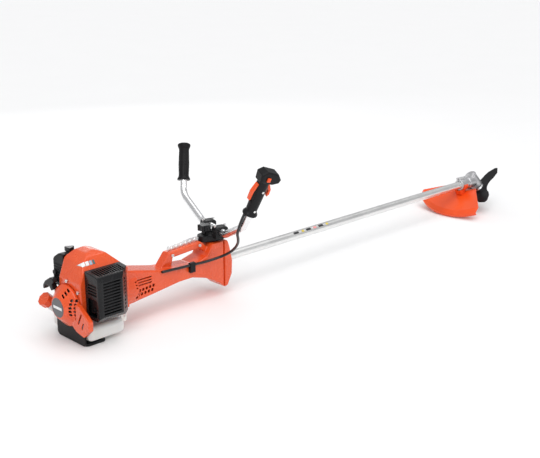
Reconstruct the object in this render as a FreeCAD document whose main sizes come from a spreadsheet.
import FreeCAD, Part
import math
import os
import Sketcher
from FreeCAD import Placement, Rotation, Vector

# A petrol brush mower: engine at the rear, long shaft tube, three-tooth blade in front.
# X runs forward along the tube, Y to the machine's left and Z up. The origin is the
# middle of the engine's flat foot, on the ground.

os.makedirs("parts", exist_ok=True)
doc = FreeCAD.newDocument("BrushMower")
sheet = doc.addObject("Spreadsheet::Sheet", "Sizes")

DRIVING = {
    # shared by everything
    "axle_height": 104, "wall": 3, "gap": 0.4, "fit": 0.05, "bolt_radius": 2.5,
    # shaft tube and drive
    "tube_radius": 14, "tube_wall": 1.5, "tube_start": 176, "drive_radius": 4,
    # starter
    "starter_face": -71, "starter_shoulder": -46, "starter_back": -38,
    "starter_radius": 57, "starter_face_radius": 30, "emblem_radius": 27, "emblem_thick": 1.5,
    "pulley_radius": 30, "post_radius": 6,
    # engine
    "crank_x": 30, "crank_radius": 7.5, "crank_throw": 17, "rod_length": 60, "web_radius": 28,
    "bore_radius": 22, "deck_height": 142, "head_height": 208, "case_rear": -30, "case_front": 112,
    "case_half_width": 34, "case_bottom": 68, "cover_left": 40, "cover_right": -58,
    "cover_bottom": 70, "cover_rear": -37, "cover_front": 118,
    # clutch
    "drum_radius": 38, "drum_rear": 122, "drum_front": 144,
    # rear casing and harness rail
    "casing_rear": 120.4, "casing_front": 484, "casing_half_width": 34, "bell_radius": 48,
    "grip_bar_half_width": 15, "rail_thick": 3, "harness_hole_radius": 4.5, "harness_hole_pitch": 17,
    # tank and foot
    "foot_length": 64, "foot_width": 132, "foot_thick": 7, "tank_bottom": 12, "tank_top": 54,
    "neck_radius": 17, "neck_y": 88, "cap_radius": 20,
    # handlebar
    "bar_radius": 11, "bar_wall": 1.5, "bar_x": 475, "bar_z": 205, "bar_yaw": 14.5,
    "bar_flat_half": 75, "bar_rise_half": 205, "bar_rise": 80, "bar_end": 129, "bend_radius": 48,
    "bar_lead": 27, "grip_start": 18, "grip_length": 112, "pivot_x": 462, "knob_x": 438,
    # cutting head
    "head_x": 1808, "head_tilt": 33, "head_roll": 18, "blade_radius": 115, "blade_thick": 2.6,
    "blade_bore": 12.7, "blade_drop": 37.4, "shaft_radius": 7, "cone_reach": 26,
    # guard
    "guard_radius": 213, "guard_thick": 3, "cable_radius": 4,
}


class Size:
    """A number together with the sheet rule that gives it, so that a property can be bound."""

    def __init__(self, number, rule):
        self.number = float(number)
        self.rule = rule

    def __float__(self):
        return self.number

    def __add__(self, other):
        return Size(self.number + float(other), f"({self.rule} + {rule_of(other)})")

    def __radd__(self, other):
        return Size(float(other) + self.number, f"({rule_of(other)} + {self.rule})")

    def __sub__(self, other):
        return Size(self.number - float(other), f"({self.rule} - {rule_of(other)})")

    def __rsub__(self, other):
        return Size(float(other) - self.number, f"({rule_of(other)} - {self.rule})")

    def __mul__(self, other):
        return Size(self.number * float(other), f"({self.rule} * {rule_of(other)})")

    __rmul__ = __mul__

    def __truediv__(self, other):
        return Size(self.number / float(other), f"({self.rule} / {rule_of(other)})")

    def __neg__(self):
        return Size(-self.number, f"(0 - {self.rule})")


def rule_of(value):
    return value.rule if isinstance(value, Size) else f"{float(value):.6f}"


class Sizes:
    """The sheet's values by name."""


size = Sizes()
for line, (name, number) in enumerate(DRIVING.items(), start=1):
    sheet.set(f"A{line}", name)
    sheet.set(f"B{line}", str(number))
    sheet.setAlias(f"B{line}", name)
    setattr(size, name, Size(number, f"Sizes.{name}"))
doc.recompute()

AXES = {
    "X": Rotation(Vector(0, 1, 0), 90),
    "Y": Rotation(Vector(1, 0, 0), -90),
    "Z": Rotation(),
}
nodes = {}


# ---- drawing tools -------------------------------------------------------------------------


def bind(obj, prop, value):
    obj.setExpression(prop, rule_of(value))


def put(obj, at=(0, 0, 0), turn=None):
    """Sets an object's place, bound to the sheet, and its fixed turn."""
    obj.Placement = Placement(Vector(*[float(c) for c in at]), turn or Rotation())
    for letter, where in zip("xyz", at):
        bind(obj, f"Placement.Base.{letter}", where)
    return obj


def cylinder(radius, length, at=(0, 0, 0), along="Z"):
    obj = doc.addObject("Part::Cylinder", "Cylinder")
    bind(obj, "Radius", radius)
    bind(obj, "Height", length)
    return put(obj, at, AXES[along] if isinstance(along, str) else along)


def cone(radius, end_radius, length, at=(0, 0, 0), along="Z"):
    obj = doc.addObject("Part::Cone", "Cone")
    bind(obj, "Radius1", radius)
    bind(obj, "Radius2", end_radius)
    bind(obj, "Height", length)
    return put(obj, at, AXES[along] if isinstance(along, str) else along)


def box(low, high, turn=None, at=None):
    """A box from its low corner to its high corner; with at, the corners are measured from there."""
    obj = doc.addObject("Part::Box", "Box")
    for prop, a, b in zip(("Length", "Width", "Height"), low, high):
        bind(obj, prop, b - a)
    if at is None:
        return put(obj, low, turn)
    moved = turn.multVec(Vector(*[float(c) for c in low]))
    return put(obj, tuple(base + step for base, step in zip(at, moved)), turn)


def fuse(*parts):
    obj = doc.addObject("Part::MultiFuse", "Fuse")
    obj.Shapes = list(parts)
    obj.Refine = True
    return obj


def cut(base, *tools):
    obj = doc.addObject("Part::Cut", "Cut")
    obj.Base = base
    obj.Tool = tools[0] if len(tools) == 1 else fuse(*tools)
    return obj


def common(first, second):
    obj = doc.addObject("Part::Common", "Common")
    obj.Base = first
    obj.Tool = second
    return obj


def sketch_in(body, role, points):
    """A closed outline of straight sides, each corner held to the body's origin by the sheet."""
    sketch = body.newObject("Sketcher::SketchObject", "Sketch")
    plane = next(f for f in body.Origin.OriginFeatures if getattr(f, "Role", "") == role)
    sketch.AttachmentSupport = (plane, [""])
    sketch.MapMode = "FlatFace"
    spots = [Vector(float(across), float(up), 0) for across, up in points]
    count = len(spots)
    for corner in range(count):
        sketch.addGeometry(Part.LineSegment(spots[corner], spots[(corner + 1) % count]), False)
    for corner in range(count):
        sketch.addConstraint(Sketcher.Constraint("Coincident", corner, 2, (corner + 1) % count, 1))
    for corner, (across, up) in enumerate(points):
        for kind, value in (("DistanceX", across), ("DistanceY", up)):
            limit = Sketcher.Constraint(kind, -1, 1, corner, 1, float(value))
            index = sketch.addConstraint(limit)
            if isinstance(value, Size):
                sketch.setExpression(f"Constraints[{index}]", value.rule)
    return sketch


def slab(role, points, thickness, at=(0, 0, 0), turn=None, middle=True):
    """A flat piece: an outline in one of the origin planes, padded by a thickness."""
    body = doc.addObject("PartDesign::Body", "Slab")
    pad = body.newObject("PartDesign::Pad", "Pad")
    sketch = sketch_in(body, role, points)
    pad.Profile = sketch
    bind(pad, "Length", thickness)
    pad.Midplane = middle
    body.Tip = pad
    return put(body, at, turn)


def turned(points, spin="H_Axis", at=(0, 0, 0), turn=None, angle=360):
    """A turned piece: its half outline in the XZ plane, spun about X (H_Axis) or Z (V_Axis)."""
    body = doc.addObject("PartDesign::Body", "Turned")
    sketch = sketch_in(body, "XZ_Plane", points)
    spun = body.newObject("PartDesign::Revolution", "Revolution")
    spun.Profile = sketch
    spun.ReferenceAxis = (sketch, [spin])
    spun.Angle = angle
    body.Tip = spun
    return put(body, at, turn)


def polygon_prism(sides, radius, length, at=(0, 0, 0), turn=None):
    obj = doc.addObject("Part::Prism", "Prism")
    obj.Polygon = sides
    bind(obj, "Circumradius", radius)
    bind(obj, "Height", length)
    return put(obj, at, turn)


def soften(base, radius, wanted):
    """Rounds the edges that the test picks."""
    doc.recompute()
    obj = doc.addObject("Part::Fillet", "Fillet")
    obj.Base = base
    edges = [i for i, edge in enumerate(base.Shape.Edges, start=1) if wanted(edge)]
    obj.Edges = [(i, float(radius), float(radius)) for i in edges]
    return obj


def inset(points, depth, opened=()):
    """The outline moved inward by a depth. Sides named as opened move outward instead."""
    corners = [Vector(float(across), float(up), 0) for across, up in points]
    count = len(corners)
    area = sum(a.x * b.y - b.x * a.y for a, b in zip(corners, corners[1:] + corners[:1]))
    inward = 1 if area > 0 else -1
    lines = []
    for side in range(count):
        run = (corners[(side + 1) % count] - corners[side]).normalize()
        shift = -1 if side in opened else float(depth)
        lines.append((corners[side] + Vector(-run.y, run.x, 0) * inward * shift, run))
    moved = []
    for (spot, run), (next_spot, next_run) in zip(lines[-1:] + lines[:-1], lines):
        gap = next_spot - spot
        step = (gap.x * next_run.y - gap.y * next_run.x) / (run.x * next_run.y - run.y * next_run.x)
        meet = spot + run * step
        moved.append((meet.x, meet.y))
    return moved


def runs_along(edge, direction):
    line = edge.Curve
    return isinstance(line, Part.Line) and abs(line.Direction.dot(direction)) > 0.999


def solid(shape):
    """A piece whose surface is worked out below, where no primitive or sketch fits."""
    obj = doc.addObject("Part::Feature", "Shaped")
    obj.Shape = shape
    return obj


def node(name, obj, at=None, turn=None):
    """Names a finished sub-part. Its label is its file name."""
    if at is not None:
        put(obj, at, turn)
    obj.Label = name
    nodes[name] = obj
    return obj


def bolts(spots, length, direction):
    """Socket-head bolts: shank from each spot along the direction, head on the near side."""
    parts, sockets = [], []
    turn = Rotation(Vector(0, 0, 1), Vector(*direction))
    for spot in spots:
        head = tuple(c - 4 * d for c, d in zip(spot, direction))
        parts.append(cylinder(size.bolt_radius * 1.8, 4, head, turn))
        parts.append(cylinder(size.bolt_radius, length, spot, turn))
        mouth = tuple(c - 5 * d for c, d in zip(spot, direction))
        sockets.append(polygon_prism(6, size.bolt_radius * 0.92, 3.4, mouth, turn))
    return cut(fuse(*parts), *sockets)


X, Y, Z = Vector(1, 0, 0), Vector(0, 1, 0), Vector(0, 0, 1)
PULL = Rotation(Z, Vector(0, 0.5, 0.8660254))
axle = size.axle_height
tube_end = size.head_x - 40
guard_x = size.head_x + 7

# ---- recoil starter ------------------------------------------------------------------------

face, shoulder, back = size.starter_face, size.starter_shoulder, size.starter_back
dome_radius, flat_radius, wall = size.starter_radius, size.starter_face_radius, size.wall

dome = turned(
    [
        (face, 0), (face, flat_radius), (shoulder, dome_radius), (back, dome_radius),
        (back, dome_radius - wall), (shoulder + wall / 2, dome_radius - wall),
        (face + wall, flat_radius - wall / 2), (face + wall, 0),
    ],
    at=(0, 0, axle),
)
post = cylinder(size.post_radius, 19, (face + wall - 1, 0, axle), "X")
lobe_outline = [(-30, 128), (-66, 120), (-112, 88), (-110, 62), (-84, 39), (-52, 46), (-30, 60)]
lobe = cut(
    slab("YZ_Plane", lobe_outline, 14, (back - 14, 0, 0), middle=False),
    slab("YZ_Plane", inset(lobe_outline, wall), 12, (back - 11, 0, 0), middle=False),
)
lobe_shell = cut(lobe, cylinder(dome_radius - 4, 60, (back - 50, 0, axle), "X"))
dome_vents = []
for across, count in ((-40, 5), (-50, 6)):
    for row in range(count):
        height = axle + 26 - 9.6 * row
        dome_vents.append(box((face - 5, across - 3.2, height - 3.2), (back - 1, across + 3.2, height + 3.2)))
for row in range(3):
    turn = Rotation(X, -62 + 2 * row)
    inner = -54 + 7.5 * row
    dome_vents.append(box((face - 5, inner, -2), (back - 1, inner + 4.5, 11), turn, (0, 0, axle)))
lobe_vents = [
    box((-20, -2.6, -20), (-4, 2.6, 16), Rotation(X, 28), (back, -71, 88)),
    box((-20, -2.6, -14), (-4, 2.6, 8), Rotation(X, 26), (back, -83, 72)),
]
rope_way = cylinder(3.5, 40, (face + 26, 36, axle + 2), PULL)
starter_shell = fuse(cut(fuse(dome, lobe_shell), *dome_vents, *lobe_vents, rope_way), post)
node("starter_cover", starter_shell)

emblem = turned(
    [
        (face - size.emblem_thick, 0), (face - size.emblem_thick, size.emblem_radius - 1.2),
        (face, size.emblem_radius), (face, 0),
    ],
    at=(0, 0, axle),
)
node("starter_emblem", emblem)

pulley_rear = face + 7
pulley = turned(
    [
        (pulley_rear, size.post_radius + 0.4), (pulley_rear, size.pulley_radius),
        (pulley_rear + 2, size.pulley_radius), (pulley_rear + 2, size.pulley_radius - 4),
        (pulley_rear + 8, size.pulley_radius - 4), (pulley_rear + 8, size.pulley_radius),
        (pulley_rear + 10, size.pulley_radius), (pulley_rear + 10, size.post_radius + 0.4),
    ],
    at=(0, 0, axle),
)
node("starter_pulley", pulley)
rope_exit = (face + 26, 44, axle + 16)
node("starter_rope_lead", cylinder(1.6, 16), rope_exit, PULL)
grip_side = [
    (-20, 33), (-20, 43), (-8, 50), (20, 49), (36, 43), (42, 34), (38, 31), (22, 38), (9, 32),
    (6, 16.4), (-6, 16.4), (-8, 30),
]
grip_body = slab("YZ_Plane", grip_side, 15)
soft_grip = soften(grip_body, 3, lambda edge: edge.BoundBox.XLength > 10 and edge.CenterOfMass.z > 30)
node("starter_grip", soft_grip, rope_exit, PULL)

# ---- crank train ---------------------------------------------------------------------------

crank = size.crank_radius
flywheel_rear = back - 10
wheel = turned(
    [
        (flywheel_rear, crank + size.fit), (flywheel_rear, 41), (flywheel_rear + 11, 41),
        (flywheel_rear + 11, crank + size.fit),
    ],
    at=(0, 0, axle),
)
fan_cuts = []
for blade in range(14):
    turn = Rotation(X, 360 * blade / 14)
    fan_cuts.append(box((-1, -4, 20), (8, 4, 39.5), turn, (flywheel_rear, 0, axle)))
node("flywheel", cut(wheel, *fan_cuts))
node(
    "ignition_coil",
    fuse(
        box((flywheel_rear + 4, -12, axle + 42), (flywheel_rear + 13, 12, axle + 51)),
        box((flywheel_rear + 13, -5, axle + 43), (size.case_rear, 5, axle + 50)),
    ),
)

rear_web = size.crank_x - 16
front_web = size.crank_x + 8
crankshaft = fuse(
    cylinder(crank, rear_web - flywheel_rear + 0.5, (flywheel_rear - 0.5, 0, axle), "X"),
    cylinder(size.web_radius, 8, (rear_web, 0, axle), "X"),
    cylinder(size.web_radius, 8, (front_web, 0, axle), "X"),
    cylinder(crank, size.drum_front - 4 - front_web, (front_web, 0, axle), "X"),
)
node("crankshaft", crankshaft)

bearing_outer = 16
rear_seat = size.case_rear + 6
front_seat = size.case_front - 40
rings = []
for seat in (rear_seat, front_seat):
    ring = cylinder(bearing_outer, 12, (seat, 0, axle), "X")
    rings.append(cut(ring, cylinder(crank + size.fit, 14, (seat - 1, 0, axle), "X")))

half = size.case_half_width
block = soften(
    box((size.case_rear, -half, size.case_bottom), (size.case_front, half, size.deck_height)),
    10, lambda edge: runs_along(edge, X),
)
flange = cylinder(44, size.casing_rear - size.case_front - size.gap, (size.case_front, 0, axle), "X")
bores = [
    cylinder(size.web_radius + 3, 40, (size.crank_x - 20, 0, axle), "X"),
    cylinder(crank + 2, 170, (size.case_rear - 5, 0, axle), "X"),
    cylinder(bearing_outer + 0.1, 13, (rear_seat - 0.5, 0, axle), "X"),
    cylinder(bearing_outer + 0.1, 13, (front_seat - 0.5, 0, axle), "X"),
    cylinder(size.bore_radius + 1, 40, (size.crank_x, 0, size.deck_height - 20)),
]
node("crankcase", cut(fuse(block, flange), *bores))

fins = [
    box((size.crank_x - 33, -33, height), (size.crank_x + 33, 33, height + 2.4))
    for height in (size.deck_height + 8 * i for i in range(8))
]
barrel_height = size.head_height - size.deck_height
barrel = cylinder(size.bore_radius + 5, barrel_height, (size.crank_x, 0, size.deck_height))
bore_top = size.head_height - 9
cylinder_node = cut(
    fuse(barrel, *fins),
    cylinder(size.bore_radius, bore_top - size.deck_height + 1, (size.crank_x, 0, size.deck_height - 1)),
    cylinder(7.1, 20, (size.crank_x, 0, bore_top - 5)),
)
node("cylinder", cylinder_node)

pin_height = axle + size.crank_throw + size.rod_length
piston = cut(
    cylinder(size.bore_radius - size.fit * 2, 31, (size.crank_x, 0, pin_height - 15)),
    cylinder(size.bore_radius - 3, 24, (size.crank_x, 0, pin_height - 16)),
)
gudgeon = common(
    cylinder(5, 60, (size.crank_x - 30, 0, pin_height), "X"),
    cylinder(size.bore_radius - 1, 20, (size.crank_x, 0, pin_height - 10)),
)
node("piston", fuse(piston, gudgeon))

big_end = axle + size.crank_throw
rod = fuse(
    cylinder(12, 10, (size.crank_x - 5, 0, big_end), "X"),
    cylinder(7.5, 10, (size.crank_x - 5, 0, pin_height), "X"),
    box((size.crank_x - 3, -5, big_end), (size.crank_x + 3, 5, pin_height)),
    cylinder(7, 12, (size.crank_x - 6, 0, big_end), "X"),
)
node("connecting_rod", cut(rod, cylinder(5 + size.fit, 20, (size.crank_x - 10, 0, pin_height), "X")))

plug_seat = size.head_height
plug = fuse(
    cylinder(7, 8, (size.crank_x, 0, plug_seat - 8)),
    polygon_prism(6, 9.5, 8, (size.crank_x, 0, plug_seat)),
    cylinder(5, 13, (size.crank_x, 0, plug_seat + 8)),
    cylinder(2.5, 5, (size.crank_x, 0, plug_seat + 21)),
)
node("spark_plug", plug)

# ---- engine covers -------------------------------------------------------------------------

cover_side = [
    (size.cover_rear, size.cover_bottom), (size.cover_rear, 172), (-18, 222), (8, 242), (38, 245),
    (62, 236), (size.cover_front, 184), (size.cover_front, size.cover_bottom),
]
cover_end = [
    (size.cover_right, size.cover_bottom), (size.cover_right, 200), (-38, 236), (-4, 250),
    (24, 247), (size.cover_left, 226), (size.cover_left, size.cover_bottom),
]
cover_mass = common(
    slab("XZ_Plane", cover_side, 300),
    slab("YZ_Plane", cover_end, 400, (-100, 0, 0), middle=False),
)
cover_void = common(
    slab("XZ_Plane", inset(cover_side, wall, opened=[7]), 300),
    slab("YZ_Plane", inset(cover_end, wall, opened=[6]), 400, (-100, 0, 0), middle=False),
)
cover_shell = cut(cover_mass, cover_void)
cover_openings = [
    cylinder(47, 10, (size.cover_front - 6, 0, axle), "X"),
    cylinder(dome_radius - 4, 10, (size.cover_rear - 4, 0, axle), "X"),
    cylinder(16, 12, (size.crank_x, size.cover_right - 4, 172), "Y"),
    cylinder(15, 12, (22, size.cover_left - 6, 166), "Y"),
    cylinder(size.bolt_radius + 0.05, 12, (size.cover_rear - 1, 1, 170), "X"),
    cylinder(size.bolt_radius + 0.05, 12, (size.cover_rear - 1, -49, 150), "X"),
]
node("engine_cover", cut(cover_shell, *cover_openings))

silencer = soften(box((-14, -104, 92), (62, -64, 186)), 8, lambda edge: True)
exhaust = [
    cylinder(13, 31, (size.crank_x, -65, 172), "Y"),
    cylinder(6, 7, (-19, -88, 106), "X"),
]
node("muffler", cut(fuse(silencer, *exhaust), cylinder(4.5, 10, (-20, -88, 106), "X")))

guard_plan = [(-22, -58.4), (-22, -116), (-16, -122), (52, -122), (90, -88), (90, -58.4)]
guard_end = [(-58.4, 208), (-112, 202), (-122, 190), (-122, 94), (-108, 80), (-58.4, 80)]
guard_mass = common(
    slab("XY_Plane", guard_plan, 160, (0, 0, 70), middle=False),
    slab("YZ_Plane", guard_end, 200, (-60, 0, 0), middle=False),
)
guard_void = common(
    slab("XY_Plane", inset(guard_plan, 2.5, opened=[5]), 160, (0, 0, 70), middle=False),
    slab("YZ_Plane", inset(guard_end, 2.5, opened=[5]), 200, (-60, 0, 0), middle=False),
)
guard_shell = cut(guard_mass, guard_void)
guard_plate = cut(
    box((-20, -60.4, 82), (88, -58.8, 205)), cylinder(14, 8, (size.crank_x, -64, 172), "Y"),
)
slots = [box((-9, -130, 100 + 8.2 * i), (46, -116, 103.8 + 8.2 * i)) for i in range(11)]
slots += [box((-9 + 8 * i, -106, 190), (-5.5 + 8 * i, -68, 215)) for i in range(11)]
slots += [box((-30, -108, 150 + 8 * i), (-16, -70, 153.5 + 8 * i)) for i in range(4)]
slots += [box((-30, -106, 90), (-16, -68, 138))]
slots += [
    box((-7, -10, 96 + 10 * i), (7, 10, 100 + 10 * i), Rotation(Z, 42), (71, -105, 0))
    for i in range(9)
]
node("muffler_guard", fuse(cut(guard_shell, *slots), guard_plate))

# ---- intake --------------------------------------------------------------------------------

carburetor = fuse(
    box((6, 42, 150), (38, 64, 182)),
    cylinder(12, 9.5, (22, 33.3, 166), "Y"),
    cylinder(10, 8, (22, 60, 166), "Y"),
    cylinder(3, 8, (6, 52, 150), Rotation(Z, -Z)),
)
node("carburetor", carburetor)
node("air_filter", soften(box((-10, 69, 142), (46, 88, 196)), 6, lambda edge: runs_along(edge, Y)))
cleaner_plan = [(-20, 40.6), (-20, 90), (-12, 98), (44, 98), (56, 88), (56, 40.6)]
cleaner_end = [(40.6, 134), (98, 134), (98, 197), (86, 213), (64, 227), (40.6, 228)]
cleaner_mass = common(
    slab("XY_Plane", cleaner_plan, 120, (0, 0, 120), middle=False),
    slab("YZ_Plane", cleaner_end, 120, (-40, 0, 0), middle=False),
)
cleaner_void = common(
    slab("XY_Plane", inset(cleaner_plan, wall, opened=[5]), 120, (0, 0, 120), middle=False),
    slab("YZ_Plane", inset(cleaner_end, wall, opened=[5]), 120, (-40, 0, 0), middle=False),
)
ribs = [box((-22.5, 46, 144 + 8 * i), (-18, 87, 147.5 + 8 * i)) for i in range(7)]
knob_way = cylinder(3.4, 20, (10, 54, 215))
cleaner_shell = cut(cleaner_mass, cleaner_void)
node("air_cleaner_cover", cut(fuse(cleaner_shell, *ribs), knob_way, box((-50, 30, 120), (60, 40.6, 240))))
knob_lobes = [
    cylinder(5, 12, (9 * math.cos(2.094 * i), 9 * math.sin(2.094 * i), 0)) for i in range(3)
]
node("air_cleaner_knob", fuse(cylinder(10, 12), cylinder(3, 14, (0, 0, -9)), *knob_lobes), (10, 54, 229))
lever = fuse(cylinder(7, 4, along="X"), box((0, -3, -26), (4, 3, 0)), box((-4, -4, -30), (4, 4, -22)))
node("choke_lever", lever, (-26.9, 78, 172))

# ---- tank and foot -------------------------------------------------------------------------

tank_plan = [(-28, -76), (89, -76), (89, 78), (60, 106), (-16, 106), (-28, 94)]
tank_depth = size.tank_top - size.tank_bottom
tank_mass = soften(
    slab("XY_Plane", tank_plan, tank_depth, (0, 0, size.tank_bottom), middle=False), 14,
    lambda edge: True,
)
neck_lean = Rotation(Y, -48)
neck_base = (8, size.neck_y, 42.6)
neck_length = 68.6
neck_reach = neck_lean.multVec(Vector(0, 0, neck_length))
neck = cylinder(size.neck_radius, neck_length, neck_base, neck_lean)
tank_void = soften(
    slab(
        "XY_Plane", inset(tank_plan, wall), tank_depth - 6, (0, 0, size.tank_bottom + 3), middle=False,
    ), 11, lambda edge: True,
)
neck_void = cylinder(size.neck_radius - 3, neck_length + 10, neck_base, neck_lean)
tank_tab = cut(box((84, -62, 36), (103, -58, 62)), cylinder(4, 10, (96, -65, 54), "Y"))
node("fuel_tank", cut(fuse(tank_mass, neck, tank_tab), tank_void, neck_void))
cap_base = tuple(base + step for base, step in zip(neck_base, neck_reach))
cap_plug = cylinder(size.neck_radius - 3.4, 8, (0, 0, -7))
cap = fuse(polygon_prism(8, size.cap_radius, 21, (0, 0, 0.4)), cap_plug)
node("fuel_cap", cap, cap_base, neck_lean)

foot_half, foot_side = size.foot_length / 2, size.foot_width / 2
foot = soften(
    box((-foot_half, -foot_side, 0), (foot_half, foot_side, size.foot_thick)), 10,
    lambda edge: runs_along(edge, Z),
)
rear_wall = slab(
    "YZ_Plane",
    [
        (-foot_side + 8, 0.8), (foot_side - 8, 0.8), (foot_side, 8), (foot_side, 46), (28, 58),
        (28, size.case_bottom - 0.2), (-28, size.case_bottom - 0.2), (-28, 58), (-foot_side, 40),
        (-foot_side, 8),
    ],
    4.6, (-foot_half - 4, 0, 0), middle=False,
)
lip = box((-foot_half - 4, -28, size.case_bottom - 6), (-10, 28, size.case_bottom - 0.2))
node("engine_foot", fuse(foot, rear_wall, lip))

# ---- clutch --------------------------------------------------------------------------------

shoes = [cylinder(12, 14, (size.drum_rear + 3, 0, axle), "X")]
for side in (0, 180):
    shoe = cut(
        cylinder(size.drum_radius - 4.2, 12, (size.drum_rear + 4, 0, axle), "X"),
        cylinder(size.drum_radius - 14, 14, (size.drum_rear + 3, 0, axle), "X"),
        box((-1, -50, -60), (20, 50, 8), Rotation(X, side), (size.drum_rear + 3, 0, axle)),
    )
    shoes.append(shoe)
    arm_at = (size.drum_rear + 5, 0, axle)
    shoes.append(box((0, -5, 8), (10, 5, size.drum_radius - 12), Rotation(X, side), arm_at))
node("clutch_shoes", cut(fuse(*shoes), cylinder(crank + size.fit, 30, (size.drum_rear - 5, 0, axle), "X")))

boss = 9
drum = turned(
    [
        (size.drum_rear, size.drum_radius - 3), (size.drum_rear, size.drum_radius),
        (size.drum_front, size.drum_radius), (size.drum_front, boss), (size.drum_front + 28, boss),
        (size.drum_front + 28, size.drive_radius + size.fit), (size.drum_front - 3, size.drive_radius + size.fit),
        (size.drum_front - 3, size.drum_radius - 3),
    ],
    at=(0, 0, axle),
)
node("clutch_drum", drum)
for seat in (size.drum_front + 6, size.drum_front + 18):
    ring = cylinder(size.tube_radius, 8, (seat, 0, axle), "X")
    rings.append(cut(ring, cylinder(boss + size.fit, 10, (seat - 1, 0, axle), "X")))
node("shaft_bearings", fuse(*rings))

# ---- rear casing, carry handle and harness rail --------------------------------------------

rear, front, side = size.casing_rear, size.casing_front, size.casing_half_width
body_outline = [
    (rear, 62), (230, 74), (330, 86), (358, 86), (414, 70), (469, 40), (front, 26), (front, 170),
    (440, 170), (418, 136), (370, 123), (259, 134), (158, 158), (rear, 166),
]
body_inside = inset(body_outline, wall, opened=[13])
bar_outline = [(256, 128), (293, 172), (409, 180.2), (424, 168), (448, 142)]
bar_window = [(294, 112), (305, 155), (404, 161), (424, 146), (412, 112)]
bell = cut(
    cylinder(size.bell_radius, 40, (rear, 0, axle), "X"),
    cylinder(size.bell_radius - wall, 40 - wall, (rear - 0.1, 0, axle), "X"),
)
outer = soften(
    slab("XZ_Plane", body_outline, side * 2), 6,
    lambda edge: edge.BoundBox.YLength < 1 and edge.Length > 45 and edge.CenterOfMass.x > float(rear) + 1,
)
shell = cut(
    outer, slab("XZ_Plane", body_inside, side * 2 - wall * 2),
    cylinder(size.bell_radius - 1, 38, (rear - 0.1, 0, axle), "X"),
)
carry = cut(
    slab("XZ_Plane", bar_outline, size.grip_bar_half_width * 2),
    slab("XZ_Plane", bar_window, 100),
    slab("XZ_Plane", body_inside, side * 2 - wall * 2),
)
carry = soften(
    carry, 4,
    lambda edge: edge.BoundBox.YLength < 1 and edge.CenterOfMass.z > 152 and edge.Length > 20,
)
sleeve_length = 90
sleeve = cylinder(size.tube_radius + 6, sleeve_length, (size.drum_front + 5, 0, axle), "X")
web_plate = slab("XZ_Plane", [(150, 74), (236, 80), (236, 132), (150, 145)], 4)
tube_way = cylinder(size.tube_radius + size.fit, 500, (size.drum_front + 4.5, 0, axle), "X")
casing_vents = []
for row in range(2):
    for place in range(6):
        spot = (150 + 12 * place + 5 * row, 0, 80 + 12 * row + place)
        casing_vents.append(box((0, -50, 0), (7, 50, 8), Rotation(Y, 14), spot))
for row in range(3):
    casing_vents.append(box((150, -50, 110 + 8 * row), (214, 50, 113.2 + 8 * row)))
vent_walls = cut(fuse(*casing_vents), cylinder(size.tube_radius + 7, 120, (140, 0, axle), "X"))
rail_screws = [(303, -size.grip_bar_half_width, 163), (404, -size.grip_bar_half_width, 170)]
screw_ways = [
    cylinder(size.bolt_radius + 0.05, 12, (x, -size.grip_bar_half_width - 1, z), "Y") for x, y, z in rail_screws
]
pivot_way = cylinder(12.05, 20, (size.pivot_x, 0, 160))
casing_solid = fuse(cut(fuse(shell, bell), vent_walls), carry, sleeve, web_plate)
casing = cut(casing_solid, tube_way, pivot_way, *screw_ways)
node("rear_casing", casing)

nose_outline = [
    (front + 0.3, 26), (front + 12, 26), (front + 30, 62), (front + 32, 104), (front + 21, 150),
    (front + 14, 169.8), (front + 0.3, 169.8),
]
nose = soften(slab("XZ_Plane", nose_outline, side * 2 + 6), 7, lambda edge: edge.CenterOfMass.x > float(front) + 1)
node("front_flange", cut(nose, cylinder(size.tube_radius + size.fit, 60, (front - 5, 0, axle), "X")))

rail_outline = [(297, 172.6), (412, 180.7), (412, 190), (406, 194), (303, 187), (297, 182)]
holes = [
    cylinder(size.harness_hole_radius, 20, (313 + size.harness_hole_pitch * i, -10, 181 + 1.2 * i), "Y")
    for i in range(6)
]
node("hanger_rail", cut(slab("XZ_Plane", rail_outline, size.rail_thick), *holes))
clip_x = 355
clip = cut(
    box((clip_x - 9, -side - 10, 106), (clip_x + 9, -side, 135)),
    cylinder(size.cable_radius + 0.9, 40, (clip_x - 20, -side - 4.5, 127.6), "X"),
)
node("cable_clip", clip)

cover_screws = [(size.cover_rear, 1, 170), (size.cover_rear, -49, 150)]

# ---- shaft tube and drive shaft ------------------------------------------------------------

tube_length = tube_end - size.tube_start
tube = cut(
    cylinder(size.tube_radius, tube_length, (size.tube_start, 0, axle), "X"),
    cylinder(size.tube_radius - size.tube_wall, tube_length + 2, (size.tube_start - 1, 0, axle), "X"),
)
node("main_tube", tube)
bush_count = 5
bushes = []
for i in range(bush_count):
    at = size.tube_start + tube_length * (i + 0.5) / bush_count
    bush = cylinder(size.tube_radius - size.tube_wall - size.fit, 24, (at, 0, axle), "X")
    bushes.append(cut(bush, cylinder(size.drive_radius + size.fit, 26, (at - 1, 0, axle), "X")))
node("shaft_bushes", fuse(*bushes))

# ---- cutting head --------------------------------------------------------------------------

head_at = (size.head_x, 0, axle)
head_turn = Rotation(X, -float(size.head_roll)).multiply(Rotation(Y, -float(size.head_tilt)))
shaft_angle = 90 - float(size.head_tilt)
to_tube = Vector(-math.sin(math.radians(shaft_angle)), 0, math.cos(math.radians(shaft_angle)))
along_tube = Rotation(Z, to_tube)


def toward_tube(distance):
    """A point of the tube's axis, measured back from the head's centre, in the head's frame."""
    return to_tube * distance


PINION_TEETH, GEAR_TEETH = 13, 20
mesh_angle = math.radians(shaft_angle)
pinion_cone = math.atan(math.sin(mesh_angle) / (GEAR_TEETH / PINION_TEETH + math.cos(mesh_angle)))
gear_cone = mesh_angle - pinion_cone


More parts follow.
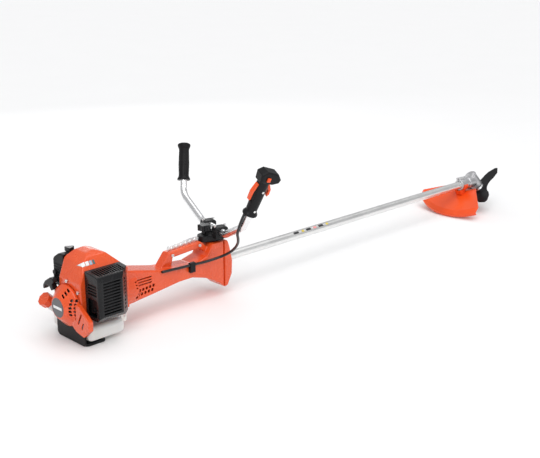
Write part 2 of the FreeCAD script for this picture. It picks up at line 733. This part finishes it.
def bevel_gear(teeth, cone_angle, reach, face_width, bore, phase):
    """Straight bevel gear with its cone's tip at the origin and its axis along +Z."""
    module = 2 * reach * math.sin(cone_angle) / teeth
    inner = reach - face_width

    def on_cone(distance, lift):
        """Radius and height of a point at a cone distance, lifted square to the cone."""
        radius = distance * math.sin(cone_angle) + lift * math.cos(cone_angle)
        height = distance * math.cos(cone_angle) - lift * math.sin(cone_angle)
        return radius, height

    outline = []
    for distance in (inner, reach):
        radius, height = on_cone(distance, -0.9 * module * distance / reach)
        outline.append(Vector(radius, 0, height))
    back = outline[1].z + 3
    outline += [Vector(outline[1].x, 0, back), Vector(bore, 0, back), Vector(bore, 0, outline[0].z)]
    blank = Part.Face(Part.makePolygon(outline + outline[:1])).revolve(Vector(), Z, 360)
    sections = []
    for distance in (inner, reach):
        scale = module * distance / reach
        corners = []
        for lift, half_width in ((-1.2, 0.62), (0.55, 0.28), (0.55, -0.28), (-1.2, -0.62)):
            radius, height = on_cone(distance, lift * scale)
            corners.append(Vector(radius, half_width * scale, height))
        sections.append(Part.makePolygon(corners + corners[:1]))
    tooth = Part.makeLoft(sections, True)
    teeth_made = []
    for i in range(teeth):
        one = tooth.copy()
        one.rotate(Vector(), Z, phase + 360 * i / teeth)
        teeth_made.append(one)
    return blank.multiFuse(teeth_made).removeSplitter()


reach = float(size.cone_reach)
gear_shape = bevel_gear(GEAR_TEETH, gear_cone, reach, 9, float(size.shaft_radius) + 0.05, 180 + 180 / GEAR_TEETH)
node("bevel_gear", solid(gear_shape), head_at, head_turn)
pinion_shape = bevel_gear(PINION_TEETH, pinion_cone, reach, 9, float(size.drive_radius) + 0.05, 0)
flip = Rotation(Y, -90)
roll_back = Rotation(X, -float(size.head_roll))
node("pinion_gear", solid(pinion_shape), head_at, roll_back.multiply(flip))

drive_end = size.head_x - 16.5
drive = cylinder(size.drive_radius, drive_end - size.drum_front + 3, (size.drum_front - 3, 0, axle), "X")
node("drive_shaft", drive)

case_radius = 23
bearing_r = 11
gear_case = fuse(
    cylinder(size.tube_radius + 6, 62, toward_tube(34), along_tube),
    cylinder(case_radius - 1, 44, toward_tube(2), along_tube),
    cylinder(case_radius, 52, (0, 0, -24)),
    cylinder(case_radius + 1.5, 4, (0, 0, 24)),
    cone(case_radius - 4, case_radius - 1, 4.5, (0, 0, -28.5)),
    box((15, -9, 60), (28, 9, 92), along_tube, (0, 0, 0)),
)
case_voids = [
    cylinder(size.tube_radius + size.fit, 60, toward_tube(40), along_tube),
    cylinder(bearing_r + 0.1, 50, toward_tube(6), along_tube),
    cylinder(19.5, 40, (0, 0, -4)),
    cylinder(15.1, 22, (0, 0, -22)),
    cylinder(size.shaft_radius + 1, 40, (0, 0, -40)),
    box((10, -1.2, 50), (40, 1.2, 100), along_tube, (0, 0, 0)),
    cylinder(case_radius, 30, (0, 0, 28.1)),
]
for distance in (68, 84):
    lug_hole = toward_tube(distance) + along_tube.multVec(Vector(23.5, -15, 0))
    case_voids.append(cylinder(size.bolt_radius + 0.05, 30, tuple(lug_hole), "Y"))
node("gear_case", cut(gear_case, *case_voids), head_at, head_turn)
lug_screws = []
for distance in (68, 84):
    lug_spot = toward_tube(distance) + along_tube.multVec(Vector(23.5, -9, 0))
    lug_screws.append(tuple(lug_spot))
lug_screws = bolts(lug_screws, 18, (0, 1, 0))
put(lug_screws, head_at, head_turn)
machine_screws = [bolts(cover_screws, 9, (1, 0, 0)), bolts(rail_screws, 8, (0, 1, 0)), lug_screws]
node("machine_screws", fuse(*machine_screws))
cap_disc = turned(
    [(0, 28.3), (19, 28.3), (case_radius - 1, 28.3), (case_radius - 2, 31.5), (12, 35), (0, 36)], "V_Axis"
)
node("gear_case_cap", cap_disc, head_at, head_turn)
pinion_ring = cut(
    cylinder(bearing_r, 8, toward_tube(31.5), along_tube),
    cylinder(size.drive_radius + size.fit, 12, toward_tube(29), along_tube),
)
shaft_rings = [
    cut(cylinder(15, 7, (0, 0, z)), cylinder(size.shaft_radius + size.fit, 9, (0, 0, z - 1)))
    for z in (-21.5, -13)
]
node("head_bearings", fuse(pinion_ring, *shaft_rings), head_at, head_turn)
node("output_shaft", fuse(cylinder(size.shaft_radius, 78, (0, 0, -52)), cylinder(10, 3, (0, 0, -6))), head_at, head_turn)

drop, thick = size.blade_drop, size.blade_thick
plate = turned(
    [
        (size.shaft_radius + size.fit, -29.4), (19, -29.4), (22, -drop + 3), (22, -drop), (size.blade_bore - 0.05, -drop),
        (size.blade_bore - 0.05, -drop - thick + 0.3), (size.shaft_radius + size.fit, -drop - thick + 0.3),
    ],
    "V_Axis",
)
node("thrust_plate", plate, head_at, head_turn)

teeth = []
tooth_reach = float(size.blade_radius)
for i in range(3):
    corners = []
    for radius, degrees in ((0.6, -25), (0.83, -15), (1, -2), (0.97, 4), (0.78, 15), (0.6, 23)):
        bearing = math.radians(degrees + 120 * i)
        corners.append(Vector(math.cos(bearing), math.sin(bearing), 0) * radius * tooth_reach)
    teeth.append(corners)
outline = []
for i, corners in enumerate(teeth):
    following = teeth[(i + 1) % 3]
    middle_angle = math.radians(60 + 120 * i)
    valley = Vector(math.cos(middle_angle), math.sin(middle_angle), 0) * 40
    outline.append(Part.makePolygon(corners))
    outline.append(Part.Arc(corners[-1], valley, following[0]).toShape())
blade_face = Part.Face(Part.Wire([edge for part in outline for edge in Part.Wire(part.Edges).Edges]))
blade_shape = blade_face.extrude(Vector(0, 0, -float(thick)))
blade_turn = -20
blade_solid = solid(blade_shape)
blade_solid.Placement = Placement(Vector(0, 0, -float(drop)), Rotation(Z, blade_turn))
node("blade", cut(blade_solid, cylinder(size.blade_bore, 30, (0, 0, -drop - 15))), head_at, head_turn)

cup = turned(
    [
        (size.shaft_radius + size.fit, -drop - thick - 0.2), (27, -drop - thick - 0.2), (27, -drop - thick - 2.4),
        (22, -drop - thick - 6), (13, -drop - thick - 6), (13, -drop - thick - 3.2),
        (size.shaft_radius + size.fit, -drop - thick - 3.2),
    ],
    "V_Axis",
)
node("blade_cup", cup, head_at, head_turn)
nut = cut(polygon_prism(6, 11.5, 8, (0, 0, -51.4)), cylinder(size.shaft_radius + size.fit, 20, (0, 0, -56)))
node("blade_nut", nut, head_at, head_turn)

# ---- blade guard ---------------------------------------------------------------------------

guard_at = (guard_x, 0, axle)
guard_turn = Rotation(Y, -float(size.head_tilt))
rim = size.guard_radius
profile = [
    (42, -8), (72, 12), (rim - 19, 33), (rim - 3, 24), (rim - 3, 15), (rim, 15),
    (rim, 26), (rim - 17, 36.5), (71, 15.3), (42, -4.2),
]
span = 88
corners = [
    box((0, -40, -10), (40, 40, 60), Rotation(Z, -45), (rim - 9, 9, 0)),
    box(
        (0, -40, -10), (40, 40, 60), Rotation(Z, span + 45),
        tuple(Rotation(Z, span).multVec(Vector(float(rim) - 9, -9, 0))),
    ),
]
fan = cut(turned(profile, "V_Axis", angle=span), *corners)
node("blade_guard", fan, guard_at, guard_turn.multiply(Rotation(Z, 131)))
bracket_tube = Rotation(Z, to_tube)
bracket_base = (
    (size.head_x - guard_x) * math.cos(math.radians(float(size.head_tilt))), 0,
    (guard_x - size.head_x) * math.sin(math.radians(float(size.head_tilt))),
)


def on_bracket(distance):
    return tuple(a + b for a, b in zip(bracket_base, tuple(toward_tube(distance))))


seat_block = slab("XZ_Plane", [(-104, 21.4), (-80, 17.3), (-80, 40), (-104, 52)], 26)
ring = cylinder(size.tube_radius + 10, 22, on_bracket(68), bracket_tube)
bracket = cut(
    fuse(seat_block, ring),
    cylinder(size.tube_radius + 6 + size.gap, 80, on_bracket(40), bracket_tube),
    box((4, -40, 40), (60, 40, 120), bracket_tube, bracket_base),
)
node("guard_bracket", bracket, guard_at, guard_turn)

# ---- handlebar -----------------------------------------------------------------------------

bar_at = (size.bar_x, 0, size.bar_z)
bar_turn = Rotation(Z, -float(size.bar_yaw))
grip_lean = Vector(0.207, 0.36, 0.91).normalize()
rise_at = Vector(0, float(size.bar_rise_half), float(size.bar_rise))
flat_at = Vector(0, float(size.bar_flat_half), 0)
bar_tip = rise_at + grip_lean * float(size.bar_end)
bend_at = rise_at - grip_lean * float(size.bar_lead)


def rounded_path(points, radii):
    """One wire of straight runs joined by tangent arcs, one radius for each inner corner."""
    edges = []
    start = points[0]
    for corner, before, after, radius in zip(points[1:-1], points[:-2], points[2:], radii):
        arriving = (corner - before).normalize()
        leaving = (after - corner).normalize()
        half_turn = arriving.getAngle(leaving) / 2
        reach_back = radius * math.tan(half_turn)
        arc_start = corner - arriving * reach_back
        arc_end = corner + leaving * reach_back
        inward = (leaving - arriving).normalize()
        centre = corner + inward * (radius / math.cos(half_turn))
        middle = centre - inward * radius
        edges.append(Part.LineSegment(start, arc_start).toShape())
        edges.append(Part.Arc(arc_start, middle, arc_end).toShape())
        start = arc_end
    edges.append(Part.LineSegment(start, points[-1]).toShape())
    return Part.Wire(edges)


def swept_tube(path, radius, inner=None):
    start = path.Edges[0].valueAt(path.Edges[0].FirstParameter)
    direction = path.Edges[0].tangentAt(path.Edges[0].FirstParameter)
    rings = [Part.Wire(Part.makeCircle(r, start, direction)) for r in (radius, inner) if r]
    pipes = [path.makePipeShell([one], True, False) for one in rings]
    return pipes[0].cut(pipes[1]) if inner else pipes[0]


def on_right(point):
    return Vector(point.x, -point.y, point.z)


bar_points = [bar_tip, bend_at, flat_at, on_right(flat_at), on_right(bend_at), on_right(bar_tip)]
bar_path = rounded_path(bar_points, [float(size.bend_radius)] * 4)
bar_shape = swept_tube(bar_path, float(size.bar_radius), float(size.bar_radius - size.bar_wall))
node("handlebar", solid(bar_shape), bar_at, bar_turn)


def grip_place(right):
    """The grip's place and turn: its Z runs up the grip and its X away from the operator."""
    base, up = (on_right(rise_at), on_right(grip_lean)) if right else (rise_at, grip_lean)
    away = (Vector(1, 0, 0) - up * up.x).normalize()
    turn = bar_turn.multiply(Rotation(away, up.cross(away), up, "ZXY"))
    moved = bar_turn.multVec(base)
    return (size.bar_x + moved.x, moved.y, size.bar_z + moved.z), turn


bar_hole = size.bar_radius + size.fit
start, end = size.grip_start, size.grip_start + size.grip_length
left_at, left_turn = grip_place(False)
left = turned(
    [
        (bar_hole, start), (20, start), (20, start + 4), (16, start + 12), (17.2, start + 50), (16, end - 16),
        (20, end - 5), (20, end), (15, end + 4), (0, end + 4), (0, end + 1), (bar_hole, end + 1),
    ],
    "V_Axis",
)
node("left_grip", left, left_at, left_turn)

right_at, right_turn = grip_place(True)
handle_core = turned(
    [
        (bar_hole, start), (21.5, start), (21.5, start + 5), (16, start + 14), (17.2, start + 60),
        (17.2, end + 2), (bar_hole, end + 2),
    ],
    "V_Axis",
)
head_outline = [(-20, 128), (20, 124), (40, 130), (44, 142), (30, 158), (-8, 164), (-24, 154)]
head_block = soften(slab("XZ_Plane", head_outline, 36), 6, lambda edge: edge.BoundBox.YLength < 1)
grip_voids = [
    cylinder(bar_hole, size.bar_end + 0.6, (0, 0, 0)),
    box((12.4, -7.5, 76), (30, 7.5, 123)),
    box((-30, -7.5, 62), (-12.4, 7.5, 120)),
]
node("throttle_grip", cut(fuse(handle_core, head_block), *grip_voids), right_at, right_turn)
trigger = fuse(
    slab("XZ_Plane", [(14.6, 119), (21.4, 119), (31, 104), (32, 88), (27, 80), (24, 86), (25, 100), (17, 112)], 13),
    cylinder(3.5, 13, (18, -6.5, 119), "Y"),
)
node("throttle_trigger", trigger, right_at, right_turn)
lockout = fuse(
    slab("XZ_Plane", [(-14.3, 117), (-19.7, 117), (-27, 92), (-26, 66), (-22, 68), (-21, 90)], 13),
    cylinder(2.8, 13, (-17, -6.5, 117), "Y"),
)
node("throttle_lockout", lockout, right_at, right_turn)
switch = fuse(box((-5, -22.5, 136), (5, -18.3, 148)), box((-3.5, -23.5, 143.5), (3.5, -22, 146.5)))
node("stop_switch", switch, right_at, right_turn)
node(
    "grip_screws",
    fuse(cylinder(3.4, 2, (0, -19.3, 100), "Y"), cylinder(3.4, 2, (0, -18.3, 36), "Y")),
    right_at, right_turn,
)

# ---- handlebar mount -----------------------------------------------------------------------

pivot = float(size.pivot_x - size.bar_x)
knob_at = float(size.knob_x - size.bar_x)
base_ring = fuse(cylinder(22, 4, (size.pivot_x, 0, 170.1)), cylinder(12, 12, (size.pivot_x, 0, 159)))
node("handle_base", cut(base_ring, cylinder(6 + size.fit, 30, (size.pivot_x, 0, 150))))
swivel_body = fuse(
    cylinder(32, 17, (0, 0, -30.5)),
    cylinder(22, 17, (knob_at, 0, -30.5)),
    slab("XY_Plane", [(knob_at, -22), (-6, -31.4), (-6, 31.4), (knob_at, 22)], 17, (0, 0, -30.5), middle=False),
    cylinder(6, 18, (pivot, 0, -47)),
)
saddle = [
    box((-18, -52, -20), (18, 52, -13), bar_turn, (0, 0, 0)),
    box((-20, 24, -20), (20, 52, -0.2), bar_turn, (0, 0, 0)),
    box((-20, -52, -20), (20, -24, -0.2), bar_turn, (0, 0, 0)),
]
bar_along = bar_turn.multiply(AXES["Y"])
bar_from = bar_turn.multVec(Vector(0, -60, 0))
plate_cuts = [
    cylinder(size.bar_radius + size.fit, 120, tuple(bar_from), bar_along),
    cylinder(4.05, 40, (knob_at, 0, -40)),
]
clamp_spots = [(x, y, 15.2) for x in (-15.5, 15.5) for y in (-38, 38)]
caps = [soften(box((-20, y - 14, 0.2), (20, y + 14, 15)), 7, lambda edge: runs_along(edge, Y) and edge.CenterOfMass.z > 10)
        for y in (-38, 38)]
clamp_holes = [cylinder(size.bolt_radius + 0.05, 40, (x, y, -12)) for x, y, z in clamp_spots]
bar_space = cylinder(size.bar_radius + size.fit, 120, (0, -60, 0), "Y")
node("handle_clamp", cut(fuse(*caps), bar_space, *clamp_holes), bar_at, bar_turn)
for x, y, z in clamp_spots:
    spot = bar_turn.multVec(Vector(x, y, -12))
    plate_cuts.append(cylinder(size.bolt_radius + 0.05, 14, tuple(spot)))
node("handle_mount", cut(fuse(swivel_body, *saddle), *plate_cuts), bar_at)
node("clamp_bolts", bolts(clamp_spots, 27, (0, 0, -1)), bar_at, bar_turn)
lobes = [cylinder(5.5, 18, (15 * math.cos(1.2566 * i), 15 * math.sin(1.2566 * i), 0)) for i in range(5)]
knob = fuse(fuse(cylinder(16, 18), *lobes), cylinder(4, 27, (0, 0, -26)))
node("mount_knob", knob, (size.knob_x, 0, size.bar_z))

# ---- throttle cable ------------------------------------------------------------------------

cable_y = -float(side) - 4.5
grip_bottom = Vector(*[float(c) for c in right_at]) + right_turn.multVec(Vector(-16.3, 0, 17.6))
cable_points = [
    Vector(246, cable_y, 133), Vector(298, cable_y - 0.4, 130.4), Vector(clip_x, cable_y, 127.6),
    Vector(400, cable_y - 1, 125), Vector(436, -50, 130), Vector(460, -80, 147), Vector(455, -118, 177),
    Vector(434, -152, 208), Vector(402, -178, 250), grip_bottom,
]
cable_radii = []
for before, corner, after in zip(cable_points[:-2], cable_points[1:-1], cable_points[2:]):
    arriving, leaving = corner - before, after - corner
    shorter = min(arriving.Length, leaving.Length)
    cable_radii.append(0.45 * shorter / math.tan(arriving.getAngle(leaving) / 2))
print("cable radii", [round(r, 1) for r in cable_radii])
cable_path = rounded_path(cable_points, cable_radii)
cable_shape = swept_tube(cable_path, float(size.cable_radius))
expected = math.pi * float(size.cable_radius) ** 2 * cable_path.Length
print("cable length", round(cable_path.Length, 1), "volume ratio", round(cable_shape.Volume / expected, 4))
node("throttle_cable", solid(cable_shape))

# ---- export --------------------------------------------------------------------------------

doc.recompute()
for obj in doc.Objects:
    if "Invalid" in obj.State or "Error" in obj.State:
        raise RuntimeError(f"{obj.Label} ({obj.Name}) failed: {obj.State}")
for name, obj in nodes.items():
    shape = obj.Shape
    if shape.isNull() or not shape.isValid() or not shape.Solids:
        raise RuntimeError(f"{name} has no valid solid")
    shape.exportStep(f"parts/{name}.step")
print(len(nodes), "nodes")
